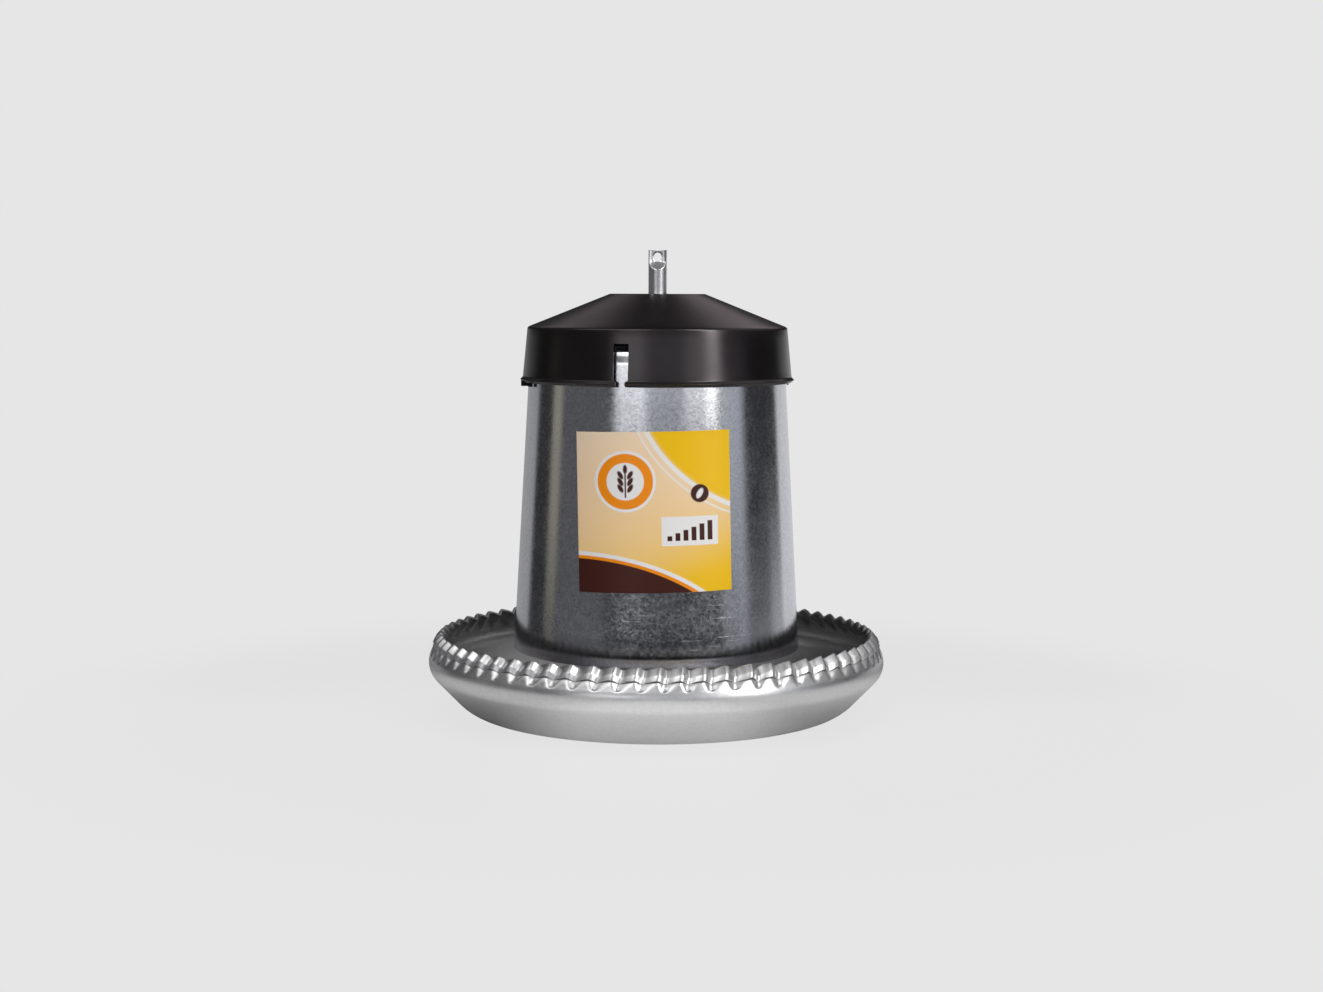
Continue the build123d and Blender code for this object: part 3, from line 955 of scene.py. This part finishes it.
def make_bead():
    """Ring pressed out of the tube over the pan, which holds the upper washer down."""
    points, faces = turned(smooth_outline(BEAD), even_columns(64))
    make_piece("tube_bead", points, faces, "feeder", tube_look, 40.0)


make_tube()
make_bead()


# Small parts that keep their solids

for name in ("hopper_bridge", "height_pin", "upper_washer", "lower_washer"):
    for place in nodes[name].material_slots:
        place.material = small_look


# World, floor and light. The glossy sheet mirrors soft boxes that surround it in the world

NEUTRAL, BLUISH, BLUE = (1.0, 1.0, 1.0), (1.0, 1.0, 1.05), (0.97, 1.0, 1.06)
WARM, ROSE = (1.1, 1.0, 0.8), (1.10, 0.95, 0.98)
AMBIENT = (0.036, 0.036, 0.039)
BACKDROP = (0.791, 0.791, 0.791, 1.0)

SOFTBOXES = {
    # from and to azimuth, from and to elevation, softness of each in degrees, strength, tint
    "streak_right": ((44, 54), (4.5, 14), (3.0, 3.0), 5.0, (1.0, 1.0, 0.99)),
    "beside_streak": ((24, 44), (4.0, 11), (4.0, 3.5), 1.9, (1.0, 1.0, 1.02)),
    "streak_left": ((-37, -11), (4.2, 12), (4.0, 3.0), 2.2, (1.0, 1.0, 1.02)),
    "front": ((-13, 24), (3.8, 11), (5.0, 3.5), 0.88, BLUE),
    "band_right": ((56, 80), (-3.0, 7), (5.0, 4.0), 0.44, (0.95, 1.0, 1.08)),
    "warm_strip": ((-103, -91), (-4.0, 5), (2.5, 3.0), 0.27, WARM),
    "fill_left": ((-90, -42), (-8.0, 9), (6.0, 5.0), 0.07, (1.0, 1.0, 1.06)),
    "low_right": ((70, 108), (-16.0, -4.0), (4.0, 3.0), 0.20, BLUISH),
    "low_far_right": ((108, 130), (-16.0, -4.0), (4.0, 3.0), 0.45, BLUISH),
    "low_back_right": ((128, 175), (-16.0, 2.0), (4.0, 3.0), 0.62, (1.0, 1.0, 1.03)),
    "low_back_left": ((-175, -128), (-16.0, 2.0), (4.0, 3.0), 0.31, (1.0, 1.0, 1.03)),
    "high_streak_right": ((44, 54), (16.0, 30), (3.0, 4.0), 13.5, NEUTRAL),
    "high_streak_left": ((-34, -16), (16.0, 30), (4.0, 4.0), 0.4, NEUTRAL),
    "high_front": ((-12, 42), (16.0, 30), (4.0, 4.0), 0.34, NEUTRAL),
    "high_right": ((58, 125), (12.0, 30), (6.0, 4.0), 0.28, NEUTRAL),
    "high_left": ((-125, -38), (12.0, 30), (6.0, 4.0), 0.1, NEUTRAL),
    "top_streak_right": ((38, 58), (34.0, 64), (6.0, 5.0), 6.0, NEUTRAL),
    "top_streak_left": ((-40, -10), (34.0, 64), (6.0, 5.0), 2.3, NEUTRAL),
    "top_front": ((-8, 34), (34.0, 64), (6.0, 5.0), 0.4, NEUTRAL),
    "top_right": ((64, 140), (36.0, 66), (8.0, 6.0), 0.42, NEUTRAL),
    "top_left": ((-92, -40), (34.0, 66), (8.0, 6.0), 0.95, NEUTRAL),
    "top_far_left": ((-125, -90), (34.0, 64), (8.0, 6.0), 0.12, NEUTRAL),
    "roof_right": ((142, 172), (22.0, 42), (8.0, 5.0), 0.55, ROSE),
    "roof_left": ((-172, -146), (24.0, 42), (8.0, 5.0), 0.33, ROSE),
    "zenith": ((-181, 181), (70.0, 95), (1.0, 6.0), 0.08, NEUTRAL),
}

FLOOR_RADIUS, FLOOR_TOP, FLOOR_BOTTOM = 500.0, -0.05, -8.0
FLOOR_GLOWS = [
    # from and to x in metres, softness, strength of the light that the floor throws back
    (-0.08, 0.08, 0.04, 0.27),
    (0.11, 0.4, 0.03, 0.06),
    (-0.4, -0.11, 0.03, 0.02),
]


def share_by_camera(tree, share, lit, plain):
    """Shader that lights the feeder one way and shows itself to the camera another way."""
    mix = tree.nodes.new("ShaderNodeMixShader")
    tree.links.new(share, mix.inputs["Fac"])
    tree.links.new(lit, mix.inputs[1])
    tree.links.new(plain, mix.inputs[2])
    return mix.outputs[0]


def camera_rays(tree):
    return tree.nodes.new("ShaderNodeLightPath").outputs["Is Camera Ray"]


def make_world():
    """Dim studio with soft boxes by direction, and a plain pale ground for the camera."""
    world = bpy.data.worlds.new("studio")
    scene.world = world
    world.use_nodes = True
    tree = world.node_tree
    tree.nodes.clear()
    coordinates = tree.nodes.new("ShaderNodeTexCoord")
    x, y, z = split_vector(tree, coordinates.outputs["Generated"])
    azimuth = azimuth_of(x, y).math("DEGREES")
    elevation = z.math("ARCSINE").math("DEGREES")
    light = [elevation * 0.0 + base for base in AMBIENT]
    for sides, heights, (side_soft, height_soft), strength, tint in SOFTBOXES.values():
        box = azimuth.between(*sides, side_soft) * elevation.between(*heights, height_soft)
        light = [part + box * (strength * share) for part, share in zip(light, tint)]
    studio = tree.nodes.new("ShaderNodeBackground")
    tree.links.new(join_colour(tree, light), studio.inputs["Color"])
    plain = tree.nodes.new("ShaderNodeBackground")
    plain.inputs["Color"].default_value = BACKDROP
    seen = share_by_camera(tree, camera_rays(tree), studio.outputs[0], plain.outputs[0])
    output = tree.nodes.new("ShaderNodeOutputWorld")
    tree.links.new(seen, output.inputs["Surface"])


def make_floor_look():
    """Pale, darker behind the feeder, with soft glows that light the pan from below."""
    material = bpy.data.materials.new("floor")
    material.use_nodes = True
    tree = material.node_tree
    shader = tree.nodes["Principled BSDF"]
    shader.inputs["Roughness"].default_value = 0.9
    where = tree.nodes.new("ShaderNodeTexCoord")
    x, y = split_vector(tree, where.outputs["Object"], 2)
    reach = (x * x + y * y).sqrt()
    tone = y.ramp(-0.02, 0.14, 0.42, 0.18)
    tree.links.new(join_colour(tree, [tone] * 3), shader.inputs["Base Color"])
    bounce = x * 0.0
    for low, high, soft, strength in FLOOR_GLOWS:
        bounce = bounce + x.between(low, high, soft) * strength
    spread = y.ramp(-0.04, 0.10, 1.0, 0.3) * reach.ramp(0.16, 0.40, 1.0, 0.3)
    tree.links.new((bounce * spread).socket, shader.inputs["Emission Strength"])
    shader.inputs["Emission Color"].default_value = (1.0, 1.0, 1.0, 1.0)
    glow = tree.nodes.new("ShaderNodeEmission")
    glow.inputs["Color"].default_value = BACKDROP
    share = Value(tree, camera_rays(tree)) * reach.ramp(0.28, 0.48, 0.93, 1.0)
    seen = share_by_camera(tree, share.socket, shader.outputs[0], glow.outputs[0])
    tree.links.new(seen, tree.nodes["Material Output"].inputs["Surface"])
    return material


def make_floor():
    """Plain pale table top that takes a faint shadow, just under the feeder's base."""
    section = [(0.01, FLOOR_TOP), (FLOOR_RADIUS, FLOOR_TOP), (FLOOR_RADIUS, FLOOR_BOTTOM),
               (0.01, FLOOR_BOTTOM)]
    floor = linked("floor", mesh_from("floor", *turned(section, even_columns(96))))
    floor.data.materials.append(make_floor_look())


def make_overhead_light():
    """Broad lamp over the feeder, for its matt parts and the faint shadow."""
    data = bpy.data.lights.new("overhead", "AREA")
    data.shape = "RECTANGLE"
    data.size = 1.8
    data.size_y = 1.6
    data.energy = 40.0
    light = bpy.data.objects.new("overhead", data)
    scene.collection.objects.link(light)
    light.location = (0.1, -0.3, 2.2)
    light.rotation_euler = (-light.location).to_track_quat("-Z", "Y").to_euler()
    light.visible_glossy = False


make_world()
make_floor()
make_overhead_light()
